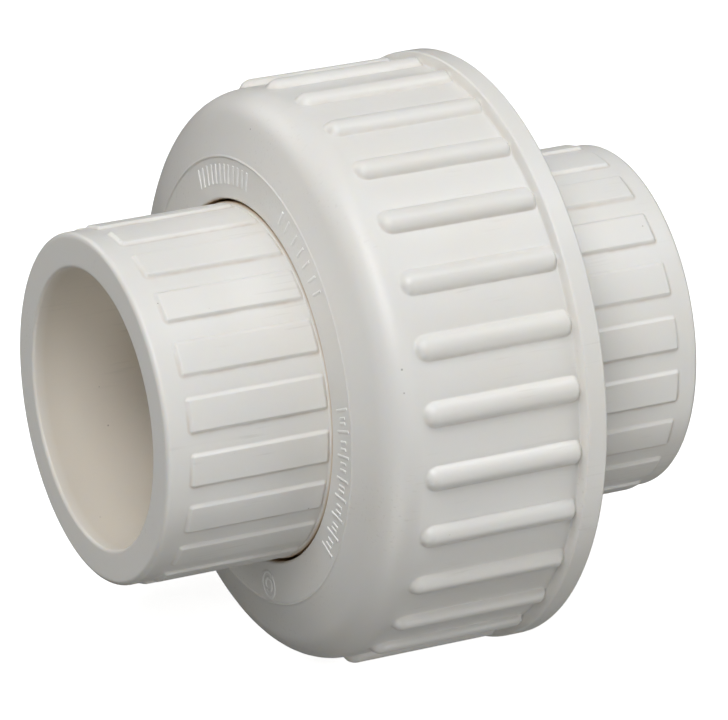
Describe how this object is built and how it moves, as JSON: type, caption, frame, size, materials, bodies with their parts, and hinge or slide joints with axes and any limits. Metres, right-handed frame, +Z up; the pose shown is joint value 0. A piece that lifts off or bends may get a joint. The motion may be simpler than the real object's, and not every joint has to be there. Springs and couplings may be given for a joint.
{
  "type": "pipe union",
  "caption": "Slip-by-slip pipe union: two socket ends with a face seal, drawn together by a ribbed nut that swivels on one end and screws onto the other.",
  "frame": {"origin": "on the pipe axis, halfway between the two socket mouths", "axes": "X along the pipe axis: the tail piece is on the -X side, the threaded end on the +X side; +Z is up"},
  "size_m": [0.07, 0.0716, 0.0716],
  "materials": {
    "white_pvc": "satin moulded PVC",
    "seal_rubber": "matt EPDM rubber"
  },
  "bodies": {
    "tail": {"tail_piece": "white_pvc"},
    "nut": {"union_nut": "white_pvc"},
    "threaded": {"threaded_end": "white_pvc", "o_ring": "seal_rubber"}
  },
  "joints": [
    {"name": "nut_turn", "type": "hinge", "parent": "tail", "child": "nut", "pos_m": [0, 0, 0], "axis": [-1, 0, 0], "range_deg": [0, 1530]},
    {"name": "end_travel", "type": "slide", "parent": "tail", "child": "threaded", "axis": [1, 0, 0], "range_m": [0, 0.0171]}
  ],
  "couplings": [
    {"joint": "end_travel", "follows": "nut_turn", "m_per_rad": 0.00063662}
  ]
}
